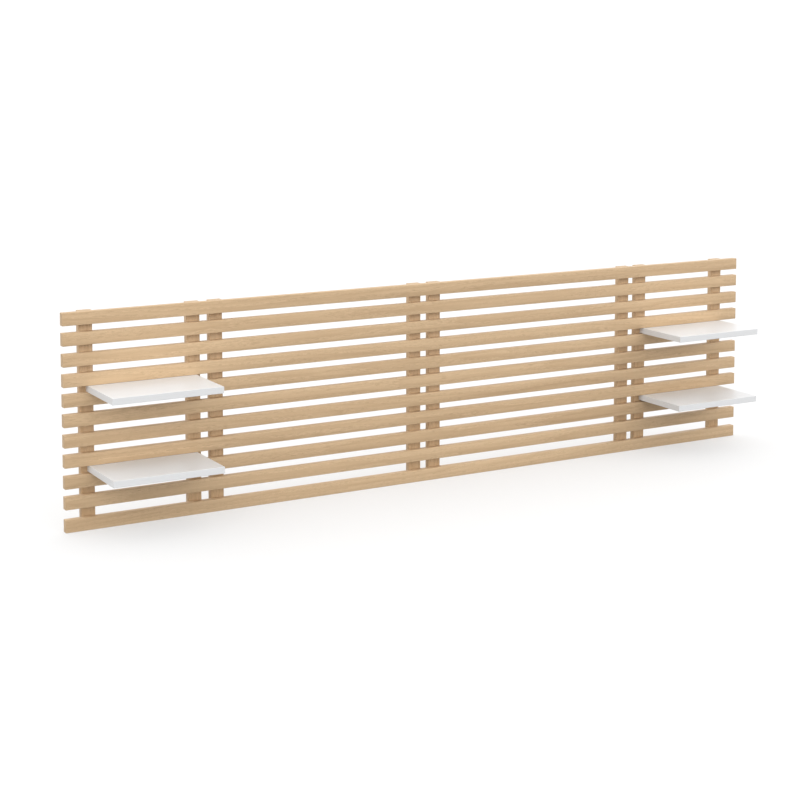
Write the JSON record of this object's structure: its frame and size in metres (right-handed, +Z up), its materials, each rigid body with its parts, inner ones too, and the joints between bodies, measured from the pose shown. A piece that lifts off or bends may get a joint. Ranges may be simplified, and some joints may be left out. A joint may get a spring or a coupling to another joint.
{
  "type": "headboard",
  "caption": "Wide headboard of light oak slats on upright battens, with small white shelves standing out of its gaps at both ends, hung on the wall by keyhole plates.",
  "frame": {"origin": "on the battens' back face, which lies on the wall, at mid-width and mid-height", "axes": "+X to the right along the slats for someone who faces the headboard, +Y from the room to the wall, +Z up"},
  "size_m": [2.4, 0.235, 0.62],
  "materials": {
    "oak": "matt",
    "white_board": "satin",
    "steel": "zinc plated"
  },
  "bodies": {
    "root": {"batten_1": "oak", "batten_2": "oak", "batten_3": "oak", "batten_4": "oak", "batten_5": "oak", "batten_6": "oak", "batten_7": "oak", "batten_8": "oak", "keyhole_plate_1": "steel", "keyhole_plate_2": "steel", "keyhole_plate_7": "steel", "keyhole_plate_8": "steel", "keyhole_plate_screws": "steel", "lower_left_shelf": "white_board", "lower_left_shelf_screws": "steel", "lower_right_shelf": "white_board", "lower_right_shelf_screws": "steel", "slat_1": "oak", "slat_10": "oak", "slat_11": "oak", "slat_2": "oak", "slat_3": "oak", "slat_4": "oak", "slat_5": "oak", "slat_6": "oak", "slat_7": "oak", "slat_8": "oak", "slat_9": "oak", "slat_screws_1": "steel", "slat_screws_2": "steel", "slat_screws_3": "steel", "slat_screws_4": "steel", "slat_screws_5": "steel", "slat_screws_6": "steel", "slat_screws_7": "steel", "slat_screws_8": "steel", "upper_left_shelf": "white_board", "upper_left_shelf_screws": "steel", "upper_right_shelf": "white_board", "upper_right_shelf_screws": "steel"}
  },
  "joints": []
}
